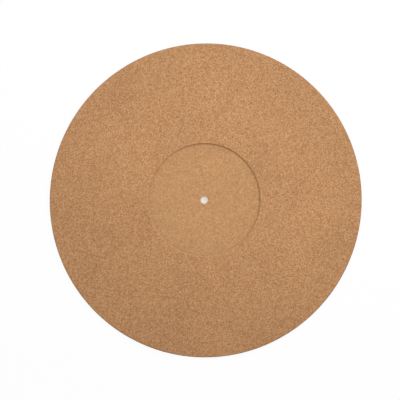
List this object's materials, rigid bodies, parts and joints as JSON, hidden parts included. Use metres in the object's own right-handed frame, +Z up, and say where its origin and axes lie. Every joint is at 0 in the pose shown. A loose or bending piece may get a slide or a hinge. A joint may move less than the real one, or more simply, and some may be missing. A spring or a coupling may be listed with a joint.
{
  "type": "turntable platter mat",
  "caption": "Thin round cork mat for a record player's platter, with a shallow recess for the record's label and a hole for the spindle.",
  "frame": {"origin": "centre of the underside, on the spindle's axis, where the mat lies on the platter", "axes": "+Z up along the spindle's axis, from the platter to the record; X and Y are alike, because the mat is round"},
  "size_m": [0.3, 0.3, 0.003],
  "materials": {
    "cork": "matt pressed cork granules, sanded"
  },
  "bodies": {
    "root": {"platter_mat": "cork"}
  },
  "joints": []
}
